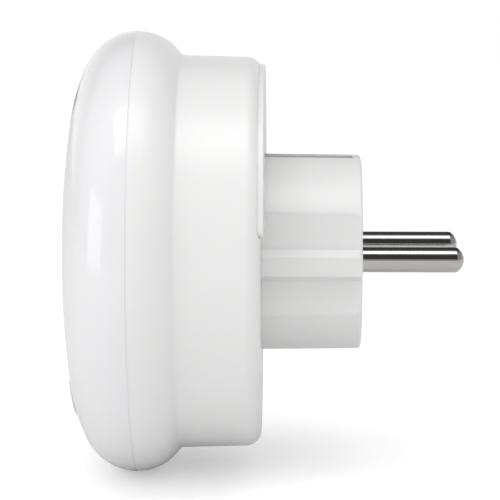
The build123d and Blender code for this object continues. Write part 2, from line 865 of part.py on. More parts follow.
def metering_chip():
    leads = on_board(chip_height / 2, chip_width - chip_lead, chip_depth + 2 * chip_lead, 0, room_middle)
    return on_board(chip_height, chip_width, chip_depth, 0, room_middle) + leads


def controller_chip():
    half, z = controller_side / 2, (lcd_low + lcd_high) / 2
    return block(board_front - controller_height, board_front, -half, half, z - half, z + half)


def crystal():
    can = on_board(crystal_height, crystal_width, room - crystal_margin, crystal_side, room_middle)
    return fillet(can.edges().filter_by(Axis.X), crystal_rounding)


def resistors():
    pieces = []
    length = room - resistor_margin
    reach = length / 2 + resistor_lead
    for y in resistor_sides:
        across = Pos(board_back + resistor_radius, y, room_middle)
        piece = across * Cylinder(resistor_radius, length) + across * Cylinder(resistor_wire, 2 * reach)
        for end in (-reach, reach):
            piece += leg(y, room_middle + end - copysign(resistor_wire, end), resistor_radius)
        pieces.append(piece)
    return pieces


parts = {
    "front_cover": front_cover(),
    "housing_shell": housing_shell(),
    "battery_cover": battery_cover(),
    "cover_screws": screws(
        cover_screw, cover_face - cover_head_recess - cover_screw[1], cover_screw_places, 1
    ),
    "case_screws": screws(
        case_screw, rear_face - case_head_recess - case_screw[1], case_screw_places, 1
    ),
    "carrier_screws": screws(carrier_screw, carrier_front, carrier_screw_places, -1),
    "board_screws": screws(board_screw, board_back, board_screw_places, 1),
    "plug_body": plug_body(),
    "line_pin": plug_pin(-1),
    "neutral_pin": plug_pin(1),
    "earth_clip_top": earth_clip(1),
    "earth_clip_bottom": earth_clip(-1),
    "earth_bridge": earth_bridge(),
    "socket_well": socket_well(),
    "socket_shutter": socket_shutter(),
    "shutter_spring": shutter_spring(),
    "contact_carrier": contact_carrier(),
    "line_contact": contact(-1),
    "neutral_contact": contact(1),
    "line_in_strap": strap(-1, 1, pin_tail_end - strap_thickness),
    "line_out_strap": strap(-1, -1, contact_stop + contact_end),
    "neutral_strap": neutral_strap(),
    "main_board": main_board(),
    "display_window": display_window(),
    "lcd_glass": lcd_glass(),
    "lcd_frame": lcd_frame(),
    "lcd_connectors": lcd_connectors(),
    "switch_bodies": switch_bodies(),
    "dropper_capacitor": dropper_capacitor(),
    "smoothing_capacitor": smoothing_capacitor(),
    "varistor": varistor(),
    "fuse": fuse(),
    "current_shunt": current_shunt(),
    "metering_chip": metering_chip(),
    "controller_chip": controller_chip(),
    "crystal": crystal(),
    "resistors": resistors(),
    "button_cells": button_cells(),
    "battery_springs": battery_springs(),
    "battery_bridge": battery_bridge(),
}
for name, angle in button_places.items():
    parts[name + "_button"] = button(angle)
    parts[name + "_plunger"] = plunger(angle)

os.makedirs("parts", exist_ok=True)
for name, solid in parts.items():
    whole = Compound(children=solid) if isinstance(solid, list) else solid
    export_step(whole, f"parts/{name}.step")
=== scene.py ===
import bpy
import bmesh
import json
import math
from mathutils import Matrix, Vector

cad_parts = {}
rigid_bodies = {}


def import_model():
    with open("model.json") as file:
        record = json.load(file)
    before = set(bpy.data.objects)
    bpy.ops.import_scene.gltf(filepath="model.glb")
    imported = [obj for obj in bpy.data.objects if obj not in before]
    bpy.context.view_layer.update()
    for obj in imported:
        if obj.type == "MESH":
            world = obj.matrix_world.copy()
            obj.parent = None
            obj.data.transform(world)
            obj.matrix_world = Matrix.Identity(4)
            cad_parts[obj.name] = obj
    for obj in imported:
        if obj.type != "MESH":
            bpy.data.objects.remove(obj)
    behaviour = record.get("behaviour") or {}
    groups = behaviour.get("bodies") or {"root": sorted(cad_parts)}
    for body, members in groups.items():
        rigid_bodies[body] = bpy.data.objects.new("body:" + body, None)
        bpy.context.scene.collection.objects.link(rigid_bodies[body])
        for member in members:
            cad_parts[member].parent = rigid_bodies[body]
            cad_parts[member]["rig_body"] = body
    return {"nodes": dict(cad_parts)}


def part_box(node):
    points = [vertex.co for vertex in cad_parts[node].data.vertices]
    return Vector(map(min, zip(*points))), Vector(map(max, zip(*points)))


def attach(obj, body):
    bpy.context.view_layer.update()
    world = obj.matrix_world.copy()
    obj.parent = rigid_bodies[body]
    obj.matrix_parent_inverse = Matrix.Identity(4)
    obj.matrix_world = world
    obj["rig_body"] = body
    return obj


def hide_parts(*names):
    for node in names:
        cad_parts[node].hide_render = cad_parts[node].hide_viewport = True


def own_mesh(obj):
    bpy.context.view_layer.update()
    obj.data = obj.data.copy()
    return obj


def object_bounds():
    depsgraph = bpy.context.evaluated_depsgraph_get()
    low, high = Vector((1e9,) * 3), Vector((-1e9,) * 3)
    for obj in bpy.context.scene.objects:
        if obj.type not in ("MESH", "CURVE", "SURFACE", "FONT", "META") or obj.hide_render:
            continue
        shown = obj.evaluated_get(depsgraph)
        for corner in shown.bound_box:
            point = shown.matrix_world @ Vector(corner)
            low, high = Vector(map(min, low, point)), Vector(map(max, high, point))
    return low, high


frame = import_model()
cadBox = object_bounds()
scene = bpy.context.scene
mm = 0.001
print("frame loaded")


# Node helpers, for materials, Geometry Nodes and the world alike

def feed(tree, node, inputs):
    # A value that is a socket is linked, and any other is set on the input itself
    for socket, value in dict(inputs).items():
        if isinstance(value, bpy.types.NodeSocket):
            tree.links.new(value, node.inputs[socket])
        else:
            node.inputs[socket].default_value = value


def wire(tree, kind, inputs=(), **settings):
    node = tree.nodes.new(kind)
    for key, value in settings.items():
        setattr(node, key, value)
    feed(tree, node, inputs)
    return node.outputs


def calc(tree, operation, *values):
    return wire(tree, "ShaderNodeMath", enumerate(values), operation=operation)["Value"]


def times(tree, first, second):
    return calc(tree, "MULTIPLY", first, second)


def vector(tree, x=0.0, y=0.0, z=0.0):
    return wire(tree, "ShaderNodeCombineXYZ", {"X": x, "Y": y, "Z": z})["Vector"]


def remap(tree, value, low, high, start, end):
    return wire(tree, "ShaderNodeMapRange", {
        "Value": value, "From Min": start, "From Max": end, "To Min": low, "To Max": high})["Result"]


# Materials: every finish reads Object coordinates, so its pattern stays on the piece

noiseSpan = (0.3, 0.7)  # the part of a noise's range that is spread over a finish's own range
plasticLook = {"cloudSize": 45 * mm, "grainDetail": 3, "polish": (0.92, 1.08), "coatRoughness": 0.04}
metalLook = {"lineDetail": 4, "shade": 0.93, "polish": (0.8, 1.25), "bump": 0.5}
boardLook = {
    "density": 260, "trackEdge": (0.06, 0.09), "trackHeight": 0.03 * mm,
    "hazeSize": 6 * mm, "roughness": (0.28, 0.4),
}
paneLook = {"ior": 1.49, "hazeSize": 9 * mm, "roughness": (0.0, 0.03)}


def startMaterial(name):
    material = bpy.data.materials.new(name)
    material.use_nodes = True
    tree = material.node_tree
    return material, tree, tree.nodes["Principled BSDF"]


def noiseOn(tree, size, stretch=(1, 1, 1), detail=2.0):
    coords = wire(tree, "ShaderNodeTexCoord")
    mapped = wire(tree, "ShaderNodeMapping", {
        "Vector": coords["Object"], "Scale": [part / size for part in stretch]})
    return wire(tree, "ShaderNodeTexNoise", {
        "Vector": mapped["Vector"], "Scale": 1.0, "Detail": detail})["Fac"]


def blendColours(tree, factor, first, second):
    return wire(tree, "ShaderNodeMix", {
        "Factor": factor, "A": (*first, 1), "B": (*second, 1)}, data_type="RGBA")["Result"]


def bumpFrom(tree, height, depth, strength=1.0):
    return wire(tree, "ShaderNodeBump", {
        "Height": height, "Distance": depth, "Strength": strength})["Normal"]


def scaled(parts, amount):
    return [part * amount for part in parts]


def plastic(name, colour, roughness, grainSize, grainDepth, coat=0.0, cloud=0.03):
    material, tree, shader = startMaterial(name)
    clouds = noiseOn(tree, plasticLook["cloudSize"])
    grain = noiseOn(tree, grainSize * mm, detail=plasticLook["grainDetail"])
    mixing = remap(tree, clouds, 0, 1, *noiseSpan)
    feed(tree, shader, {
        "Base Color": blendColours(tree, mixing, scaled(colour, 1 - cloud), colour),
        "Roughness": remap(tree, clouds, *scaled(plasticLook["polish"], roughness), *noiseSpan),
        "Normal": bumpFrom(tree, grain, grainDepth * mm),
        "Coat Weight": coat, "Coat Roughness": plasticLook["coatRoughness"],
    })
    return material


def metal(name, colour, roughness, lineSize, lineDepth, stretch=(1, 1, 1)):
    material, tree, shader = startMaterial(name)
    lines = noiseOn(tree, lineSize * mm, stretch, metalLook["lineDetail"])
    mixing = remap(tree, lines, 0, 1, *noiseSpan)
    feed(tree, shader, {
        "Base Color": blendColours(tree, mixing, scaled(colour, metalLook["shade"]), colour),
        "Roughness": remap(tree, lines, *scaled(metalLook["polish"], roughness), *noiseSpan),
        "Normal": bumpFrom(tree, lines, lineDepth * mm, metalLook["bump"]),
        "Metallic": 1.0,
    })
    return material


def boardMask(name, colour, trackColour):
    material, tree, shader = startMaterial(name)
    coords = wire(tree, "ShaderNodeTexCoord")
    cells = wire(tree, "ShaderNodeTexVoronoi", {
        "Vector": coords["Object"], "Scale": boardLook["density"]},
        feature="DISTANCE_TO_EDGE", distance="MANHATTAN")
    tracks = remap(tree, cells["Distance"], 0, 1, *boardLook["trackEdge"])
    haze = noiseOn(tree, boardLook["hazeSize"])
    feed(tree, shader, {
        "Base Color": blendColours(tree, tracks, trackColour, colour),
        "Normal": bumpFrom(tree, tracks, boardLook["trackHeight"]),
        "Roughness": remap(tree, haze, *boardLook["roughness"], *noiseSpan),
    })
    return material


def clearPane(name, colour):
    material, tree, shader = startMaterial(name)
    haze = noiseOn(tree, paneLook["hazeSize"])
    feed(tree, shader, {
        "Base Color": (*colour, 1), "Transmission Weight": 1.0, "IOR": paneLook["ior"],
        "Roughness": remap(tree, haze, *paneLook["roughness"], *noiseSpan),
    })
    return material


# Colour, roughness, grain size and depth in mm, then coat and clouding where they matter
plastics = {
    "coverWhite": ((0.825, 0.825, 0.838), 0.13, 2.5, 0.002, 0.5, 0.012),
    "housingWhite": ((0.84, 0.84, 0.835), 0.3, 0.35, 0.004, 0.1),
    "plugWhite": ((0.81, 0.81, 0.805), 0.33, 0.3, 0.006),
    "socketWhite": ((0.82, 0.82, 0.82), 0.25, 0.4, 0.004, 0.1),
    "shutterGrey": ((0.62, 0.62, 0.62), 0.45, 0.3, 0.006),
    "carrierGrey": ((0.5, 0.5, 0.49), 0.5, 0.3, 0.01),
    "frameGrey": ((0.6, 0.6, 0.59), 0.5, 0.3, 0.01),
    "buttonGrey": ((0.68, 0.69, 0.71), 0.38, 0.25, 0.012),
    "markGrey": ((0.09, 0.1, 0.12), 0.5, 0.2, 0.004),
    "displayGlass": ((0.46, 0.52, 0.43), 0.12, 3, 0.001, 0.3),
    "displayInk": ((0.02, 0.025, 0.03), 0.3, 0.5, 0.001),
    "connectorRubber": ((0.05, 0.05, 0.055), 0.7, 0.2, 0.01),
    "darkPlastic": ((0.03, 0.03, 0.034), 0.45, 0.2, 0.01),
    "capacitorYellow": ((0.72, 0.5, 0.06), 0.4, 0.3, 0.008),
    "canBlack": ((0.035, 0.035, 0.06), 0.22, 0.5, 0.004),
    "varistorBlue": ((0.05, 0.14, 0.4), 0.3, 0.7, 0.03),
    "fuseBrown": ((0.14, 0.06, 0.035), 0.4, 0.3, 0.008),
    "resistorBeige": ((0.66, 0.5, 0.32), 0.45, 0.4, 0.01),
}
# Colour, roughness, line size and depth in mm, then the stretch of the lines
metals = {
    "nickel": ((0.56, 0.55, 0.54), 0.1, 0.16, 0.0015, (0.06, 1, 1)),
    "clipNickel": ((0.8, 0.79, 0.77), 0.42, 0.2, 0.002, (0.08, 1, 1)),
    "brass": ((0.75, 0.56, 0.27), 0.25, 0.12, 0.002, (1, 0.1, 1)),
    "springSteel": ((0.6, 0.6, 0.61), 0.22, 0.1, 0.002),
    "screwSteel": ((0.58, 0.59, 0.6), 0.3, 0.15, 0.004),
    "cellSteel": ((0.7, 0.7, 0.69), 0.2, 0.1, 0.002, (1, 1, 0.05)),
    "shuntMetal": ((0.62, 0.44, 0.33), 0.35, 0.2, 0.004, (1, 1, 0.1)),
    "crystalMetal": ((0.74, 0.74, 0.73), 0.2, 0.15, 0.003),
}
finishes = {name: plastic(name, *look) for name, look in plastics.items()}
finishes.update({name: metal(name, *look) for name, look in metals.items()})
finishes["boardGreen"] = boardMask("boardGreen", (0.02, 0.16, 0.07), (0.05, 0.3, 0.13))
finishes["clearWindow"] = clearPane("clearWindow", (0.97, 0.98, 0.98))
print("finishes made")


# Pieces that keep the solid's shape: the loose triangles are joined and shaded smooth

joining = {"weld": 0.001 * mm, "sliver": 0.0005 * mm}
shading = {"plainAngle": 35, "arcAngle": 30, "grownAngle": 32, "arcFit": 0.004 * mm, "arcTilt": 12}


def addPiece(name, mesh, body, node=None):
    piece = bpy.data.objects.new(name, mesh)
    scene.collection.objects.link(piece)
    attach(piece, body)
    if node:
        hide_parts(node)
    return piece


def plainMesh(holder):
    # The modifiers' result, as a mesh of its own
    evaluated = holder.evaluated_get(bpy.context.evaluated_depsgraph_get())
    mesh = bpy.data.meshes.new_from_object(evaluated)
    bpy.data.objects.remove(holder)
    return mesh


def shadeMesh(mesh, angle):
    mesh.shade_smooth()
    mesh.set_sharp_from_angle(angle=math.radians(angle))


def joinedMesh(node):
    mesh = frame["nodes"][node].data.copy()
    work = bmesh.new()
    work.from_mesh(mesh)
    bmesh.ops.remove_doubles(work, verts=work.verts, dist=joining["weld"])
    bmesh.ops.dissolve_degenerate(work, edges=work.edges, dist=joining["sliver"])
    work.to_mesh(mesh)
    work.free()
    stored = mesh.attributes.get("custom_normal")
    if stored:
        mesh.attributes.remove(stored)
    mesh.materials.clear()
    return mesh


def turnedNormals(mesh, rings):
    # Where a face lies on one of the arcs, its normals point straight away from the arc's centre
    cosine = math.cos(math.radians(shading["arcTilt"]))
    normals = []
    corners = [corner.vector.copy() for corner in mesh.corner_normals]
    for face in mesh.polygons:
        for index in face.loop_indices:
            place = mesh.vertices[mesh.loops[index].vertex_index].co
            radial = Vector((0, place.y, place.z))
            radius = radial.length
            found = corners[index]
            for centreX, centreRadius, arc in rings:
                gap = Vector((place.x - centreX, radius - centreRadius))
                if abs(gap.length - arc) < shading["arcFit"] and radius > 0:
                    exact = (Vector((gap.x, 0, 0)) + radial / radius * gap.y).normalized()
                    side = exact.dot(face.normal)
                    if abs(side) > cosine:
                        found = exact if side > 0 else -exact
                        break
            normals.append(found)
    mesh.normals_split_custom_set(normals)


def weighNormals(mesh):
    # Large flat faces keep their own normal where they meet a small rounding
    holder = bpy.data.objects.new("weighing", mesh)
    scene.collection.objects.link(holder)
    weigh = holder.modifiers.new("weigh", "WEIGHTED_NORMAL")
    weigh.mode = "FACE_AREA_WITH_ANGLE"
    weigh.keep_sharp = True
    return plainMesh(holder)


def smoothPiece(node, finish, rings=()):
    name = node.title().replace("_", "")
    name = name[0].lower() + name[1:]
    mesh = joinedMesh(node)
    mesh.materials.append(finishes[finish])
    shadeMesh(mesh, shading["arcAngle"] if rings else shading["plainAngle"])
    mesh = weighNormals(mesh)
    mesh.name = name
    if rings:
        turnedNormals(mesh, rings)
    addPiece(name, mesh, frame["nodes"][node]["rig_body"], node)


# The dome's three tangent arcs, from the front cover's own box, and the bulge behind the seam
dome = {
    "rimArc": 10.4 * mm, "rimTurn": 62, "shoulderArc": 26 * mm, "shoulderTurn": 19,
    "rimLand": 0.15 * mm, "wall": 2.2 * mm, "seam": -41.85 * mm,
}
rear = {"bulgeArc": 9.4 * mm, "rimRadius": 41.65 * mm}
crownTurn = math.radians(90 - dome["rimTurn"] - dome["shoulderTurn"])


def domeArcs():
    # Each arc as its centre's x, its centre's radius and its own radius
    low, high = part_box("front_cover")
    rim = Vector((dome["seam"] - dome["rimLand"], high.y - dome["rimArc"]))
    turn = math.radians(90 + dome["rimTurn"])
    step = dome["rimArc"] - dome["shoulderArc"]
    shoulder = rim + Vector((math.cos(turn), math.sin(turn))) * step
    crownArc = dome["shoulderArc"] + shoulder.y / math.sin(crownTurn)
    start = Vector((-math.cos(crownTurn), math.sin(crownTurn)))
    crown = shoulder + start * (dome["shoulderArc"] - crownArc)
    return [(rim.x, rim.y, dome["rimArc"]), (shoulder.x, shoulder.y, dome["shoulderArc"]),
            (crown.x, crown.y, crownArc)]


outerArcs = domeArcs()
domeRings = outerArcs + [(x, radius, arc - dome["wall"]) for x, radius, arc in outerArcs]
bulge = (dome["seam"], rear["rimRadius"] - rear["bulgeArc"], rear["bulgeArc"])
smoothPiece("housing_shell", "housingWhite", [bulge])
smoothPiece("front_cover", "coverWhite", domeRings)
smoothPiece("display_window", "clearWindow", domeRings)
for finish, slot, nodes in (
    ("housingWhite", "housing_white", "battery_cover"),
    ("plugWhite", "plug_white", "plug_body"),
    ("socketWhite", "socket_white", "socket_well"),
    ("shutterGrey", "shutter_grey", "socket_shutter"),
    ("carrierGrey", "carrier_grey", "contact_carrier"),
    ("buttonGrey", "button_grey", "mode_button up_button down_button"),
    ("darkPlastic", "dark_plastic", "mode_plunger up_plunger down_plunger"),
    ("clipNickel", "nickel", "earth_clip_top earth_clip_bottom"),
    ("brass", "brass", "earth_bridge line_contact neutral_contact"),
    ("brass", "brass", "line_in_strap line_out_strap neutral_strap"),
    ("boardGreen", "board_green", "main_board"),
    ("displayGlass", "display_glass", "lcd_glass"),
    ("frameGrey", "carrier_grey", "lcd_frame"),
    ("connectorRubber", "connector_rubber", "lcd_connectors"),
    ("darkPlastic", "dark_plastic", "switch_bodies"),
    ("capacitorYellow", "capacitor_yellow", "dropper_capacitor"),
    ("canBlack", "can_black", "smoothing_capacitor"),
    ("varistorBlue", "varistor_blue", "varistor"),
    ("fuseBrown", "fuse_brown", "fuse"),
    ("shuntMetal", "shunt_metal", "current_shunt"),
    ("darkPlastic", "dark_plastic", "metering_chip controller_chip"),
    ("crystalMetal", "crystal_metal", "crystal"),
    ("resistorBeige", "resistor_beige", "resistors"),
    ("cellSteel", "cell_steel", "button_cells"),
    ("springSteel", "spring_steel", "battery_bridge"),
):
    for node in nodes.split():
        smoothPiece(node, finish)
print("pieces made")


# Geometry Nodes helpers: each tree's inputs are its sizes, its counts and its finish

def startTree(name, sizes, counts=()):
    tree = bpy.data.node_groups.new(name, "GeometryNodeTree")
    inputs = [("Geometry", "Geometry")] + [(label, "Float") for label in sizes]
    inputs += [(label, "Int") for label in counts] + [("Finish", "Material")]
    for label, kind in inputs:
        tree.interface.new_socket(label, in_out="INPUT", socket_type="NodeSocket" + kind)
    tree.interface.new_socket("Geometry", in_out="OUTPUT", socket_type="NodeSocketGeometry")
    return tree, tree.nodes.new("NodeGroupInput").outputs


def attribute(tree, name):
    named = wire(tree, "GeometryNodeInputNamedAttribute", {"Name": name}, data_type="FLOAT")
    return named["Attribute"]


def moved(tree, geometry, z):
    return wire(tree, "GeometryNodeTransform", {
        "Geometry": geometry, "Translation": vector(tree, z=z)})["Geometry"]


def turned(tree, geometry, turn):
    return wire(tree, "GeometryNodeTransform", {"Geometry": geometry, "Rotation": turn})["Geometry"]


def welded(tree, geometry, distance):
    return wire(tree, "GeometryNodeMergeByDistance", {
        "Geometry": geometry, "Distance": distance})["Geometry"]


def cylinder(tree, sides, radius, depth):
    return wire(tree, "GeometryNodeMeshCylinder", {
        "Vertices": sides, "Radius": radius, "Depth": depth})["Mesh"]


def sweep(tree, path, sides, radius, girth=1.0, caps=True):
    # A round bar along a path, which can be thicker at some points than at others
    ring = wire(tree, "GeometryNodeCurvePrimitiveCircle", {"Resolution": sides, "Radius": radius})
    return wire(tree, "GeometryNodeCurveToMesh", {
        "Curve": path, "Profile Curve": ring["Curve"], "Scale": girth, "Fill Caps": caps})["Mesh"]


def joinAll(tree, parts):
    join = tree.nodes.new("GeometryNodeJoinGeometry")
    for part in parts:
        tree.links.new(part, join.inputs["Geometry"])
    return join.outputs["Geometry"]


def endTree(tree, result, finish):
    real = wire(tree, "GeometryNodeRealizeInstances", {"Geometry": result})
    coated = wire(tree, "GeometryNodeSetMaterial", {"Geometry": real["Geometry"], "Material": finish})
    tree.links.new(coated["Geometry"], tree.nodes.new("NodeGroupOutput").inputs["Geometry"])


def endCopies(tree, given, instance, changes=()):
    # One copy on each point, turned or stretched by the changes
    copies = wire(tree, "GeometryNodeInstanceOnPoints", {
        "Points": given["Geometry"], "Instance": instance, **dict(changes)})
    endTree(tree, copies["Instances"], given["Finish"])


def growPiece(name, tree, points, values, body, node=None, attributes=(), edges=()):
    base = bpy.data.meshes.new(name + "Points")
    base.from_pydata(points, list(edges), [])
    for key, numbers in dict(attributes).items():
        base.attributes.new(key, "FLOAT", "POINT").data.foreach_set("value", numbers)
    holder = bpy.data.objects.new(name + "Holder", base)
    scene.collection.objects.link(holder)
    modifier = holder.modifiers.new(tree.name, "NODES")
    modifier.node_group = tree
    for item in tree.interface.items_tree:
        if item.in_out == "INPUT" and item.name in values:
            modifier[item.identifier] = values[item.name]
    mesh = plainMesh(holder)
    mesh.name = name
    mesh.materials.clear()
    mesh.materials.append(values["Finish"])
    mesh.polygons.foreach_set("material_index", [0] * len(mesh.polygons))
    shadeMesh(mesh, shading["grownAngle"])
    return addPiece(name, mesh, body, node)


def islandBoxes(node):
    # Lowest and highest corner of each separate solid in a node
    work = bmesh.new()
    work.from_mesh(frame["nodes"][node].data)
    bmesh.ops.remove_doubles(work, verts=work.verts, dist=joining["weld"])
    left, boxes = set(work.verts), []
    while left:
        stack, places = [left.pop()], []
        while stack:
            vertex = stack.pop()
            places.append(vertex.co.copy())
            for edge in vertex.link_edges:
                other = edge.other_vert(vertex)
                if other in left:
                    left.remove(other)
                    stack.append(other)
        boxes.append([Vector([pick(place[axis] for place in places) for axis in range(3)])
                      for pick in (min, max)])
    work.free()
    return sorted(boxes, key=lambda box: tuple(box[0]))


# Screws: pan heads with a tapered cross recess, a plain core and a rolled thread

screwKinds = {  # piece, head radius and height, shank radius, and the way the head faces along x
    "case_screws": ("caseScrews", 2.7 * mm, 1.9 * mm, 1.45 * mm, 1),
    "cover_screws": ("coverScrews", 2.2 * mm, 0.9 * mm, 1.0 * mm, 1),
    "carrier_screws": ("carrierScrews", 2.2 * mm, 1.4 * mm, 1.1 * mm, -1),
    "board_screws": ("boardScrews", 1.8 * mm, 1.3 * mm, 0.9 * mm, 1),
}
screw = {  # shares of the head's or the shank's own size, and the recesses' turns in degrees
    "headFullness": 0.56, "headRings": 14, "headSides": 40, "headWeld": 0.002 * mm,
    "recessReach": 0.62, "recessWidth": 0.15, "recessDepth": 0.62, "recessTaper": 0.6,
    "recessHeadroom": 1.3, "rodShare": 0.93, "rodSides": 24,
    "tipShare": 0.075, "tipTop": 0.97, "tipEnd": 0.4,
    "threadPitch": 0.62, "threadDepth": 0.2, "threadShare": 0.8, "threadSteps": 16, "threadSides": 4,
    "turns": (24, 71, 8, 52),
}


def makeScrewTree():
    tree, given = startTree("panScrew", (
        "Head Radius", "Head Height", "Head Fullness", "Recess Reach", "Recess Width",
        "Recess Depth", "Shank Radius", "Shank Length", "Thread Pitch", "Thread Depth", "Side"))
    line = wire(tree, "GeometryNodeCurvePrimitiveLine", {"End": (0, 0, 1)})
    stations = wire(tree, "GeometryNodeResampleCurve", {
        "Curve": line["Curve"], "Count": screw["headRings"]})
    index = wire(tree, "GeometryNodeSplineParameter")["Index"]
    angle = times(tree, index, math.pi / 2 / (screw["headRings"] - 1))
    rise = calc(tree, "POWER", calc(tree, "SINE", angle), given["Head Fullness"])
    inward = calc(tree, "MAXIMUM", calc(tree, "COSINE", angle), 0.0)
    fall = calc(tree, "POWER", inward, given["Head Fullness"])
    level = vector(tree, z=times(tree, rise, given["Head Height"]))
    axis = wire(tree, "GeometryNodeSetPosition", {"Geometry": stations["Curve"], "Position": level})
    girth = times(tree, fall, given["Head Radius"])
    head = sweep(tree, axis["Geometry"], screw["headSides"], 1.0, girth)
    head = welded(tree, head, screw["headWeld"])
    # Each wing of the recess is a four-sided cone, turned square and stretched
    depth = times(tree, given["Recess Depth"], given["Head Height"])
    wedge = wire(tree, "GeometryNodeMeshCone", {
        "Vertices": 4, "Radius Top": math.sqrt(2), "Radius Bottom": screw["recessTaper"],
        "Depth": times(tree, depth, screw["recessHeadroom"])})
    square = turned(tree, wedge["Mesh"], (0, 0, math.pi / 4))
    floor = vector(tree, z=calc(tree, "SUBTRACT", given["Head Height"], depth))
    long = times(tree, given["Recess Reach"], given["Head Radius"])
    thin = times(tree, given["Recess Width"], given["Head Radius"])
    cut = tree.nodes.new("GeometryNodeMeshBoolean")
    cut.operation, cut.solver = "DIFFERENCE", "EXACT"
    tree.links.new(head, cut.inputs["Mesh 1"])
    for first, second in ((long, thin), (thin, long)):
        wing = wire(tree, "GeometryNodeTransform", {
            "Geometry": square, "Scale": vector(tree, first, second, 1.0), "Translation": floor})
        tree.links.new(wing["Geometry"], cut.inputs["Mesh 2"])
    ridge = times(tree, given["Thread Depth"], given["Shank Radius"])
    core = calc(tree, "SUBTRACT", given["Shank Radius"], ridge)
    shaft = times(tree, given["Shank Length"], screw["rodShare"])
    rod = moved(tree, cylinder(tree, screw["rodSides"], core, shaft), times(tree, shaft, -0.5))
    # The tip reaches a little way into the rod
    tip = wire(tree, "GeometryNodeMeshCone", {
        "Vertices": screw["rodSides"], "Radius Top": times(tree, core, screw["tipTop"]),
        "Radius Bottom": times(tree, core, screw["tipEnd"]),
        "Depth": times(tree, given["Shank Length"], screw["tipShare"])})
    tip = moved(tree, tip["Mesh"], times(tree, given["Shank Length"], -1.0))
    threaded = times(tree, given["Shank Length"], screw["threadShare"])
    pitch = times(tree, given["Thread Pitch"], given["Shank Radius"])
    helix = wire(tree, "GeometryNodeCurveSpiral", {
        "Resolution": screw["threadSteps"], "Rotations": calc(tree, "DIVIDE", threaded, pitch),
        "Start Radius": core, "End Radius": core, "Height": threaded})
    upright = wire(tree, "GeometryNodeSetCurveNormal", {"Curve": helix["Curve"]}, mode="Z_UP")
    thread = sweep(tree, upright["Curve"], screw["threadSides"], ridge)
    thread = moved(tree, thread, times(tree, shaft, -1.0))
    whole = joinAll(tree, (cut.outputs["Mesh"], rod, tip, thread))
    lean = vector(tree, y=times(tree, given["Side"], math.pi / 2))
    spin = vector(tree, x=attribute(tree, "turn"))
    endCopies(tree, given, turned(tree, whole, lean), {"Rotation": spin})
    return tree


def makeScrews(tree, node, name, headRadius, headHeight, shankRadius, side):
    points, turns = [], []
    for index, (low, high) in enumerate(islandBoxes(node)):
        seat = high.x - headHeight if side == 1 else low.x + headHeight
        points.append((seat, (low.y + high.y) / 2, (low.z + high.z) / 2))
        turns.append(math.radians(screw["turns"][index % len(screw["turns"])]))
    values = {
        "Head Radius": headRadius, "Head Height": headHeight, "Head Fullness": screw["headFullness"],
        "Recess Reach": screw["recessReach"], "Recess Width": screw["recessWidth"],
        "Recess Depth": screw["recessDepth"], "Shank Radius": shankRadius,
        "Shank Length": high.x - low.x - headHeight, "Thread Pitch": screw["threadPitch"],
        "Thread Depth": screw["threadDepth"], "Side": float(side), "Finish": finishes["screwSteel"],
    }
    body = frame["nodes"][node]["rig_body"]
    growPiece(name, tree, points, values, body, node, {"turn": turns})


screwTree = makeScrewTree()
for node, kind in screwKinds.items():
    makeScrews(screwTree, node, *kind)
print("screws made")


# Springs: the shutter's return spring with closed ends, and conical springs under the cells

coil = {"steps": 28, "wireSides": 12}
shutterSpring = {"wire": 0.15 * mm, "turns": 9.0, "closing": 0.8 * mm, "keep": 0.37}
batterySpring = {
    "wire": 0.25 * mm, "turns": 2.5, "height": 2.2 * mm, "footCoil": 3.5 * mm, "topCoil": 2.4 * mm,
    "footRadius": 4.2 * mm, "footThickness": 0.25 * mm, "footSides": 48,
    "leadRadius": 0.5 * mm, "leadSides": 20,
}
coilSizes = ("Start Radius", "End Radius", "Wire", "Length", "Turns", "Closing")


def coilNodes(tree, given):
    # Closing draws the turns together at both ends
    rise = calc(tree, "SUBTRACT", given["Length"], times(tree, given["Wire"], 2.0))
    helix = wire(tree, "GeometryNodeCurveSpiral", {
        "Resolution": coil["steps"], "Rotations": given["Turns"], "Height": rise,
        "Start Radius": given["Start Radius"], "End Radius": given["End Radius"]})
    place = wire(tree, "GeometryNodeInputPosition")["Position"]
    level = wire(tree, "ShaderNodeSeparateXYZ", {"Vector": place})["Z"]
    share = calc(tree, "DIVIDE", level, rise)
    wave = calc(tree, "SINE", times(tree, share, 2 * math.pi))
    lift = calc(tree, "SUBTRACT", given["Wire"], times(tree, wave, given["Closing"]))
    spaced = wire(tree, "GeometryNodeSetPosition", {
        "Geometry": helix["Curve"], "Offset": vector(tree, z=lift)})
    return sweep(tree, spaced["Geometry"], coil["wireSides"], given["Wire"])


def makeShutterSpring():
    tree, given = startTree("returnSpring", coilSizes)
    endCopies(tree, given, coilNodes(tree, given))
    low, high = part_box("shutter_spring")
    middle = (low + high) / 2
    anchor = (middle.x, middle.y, low.z)
    radius = (high.x - low.x) / 2 - shutterSpring["wire"]
    values = {
        "Start Radius": radius, "End Radius": radius, "Wire": shutterSpring["wire"],
        "Length": high.z - low.z, "Turns": shutterSpring["turns"],
        "Closing": shutterSpring["closing"], "Finish": finishes["springSteel"],
    }
    piece = growPiece(
        "shutterSpring", tree, [anchor], values, "housing", "shutter_spring")
    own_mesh(piece)


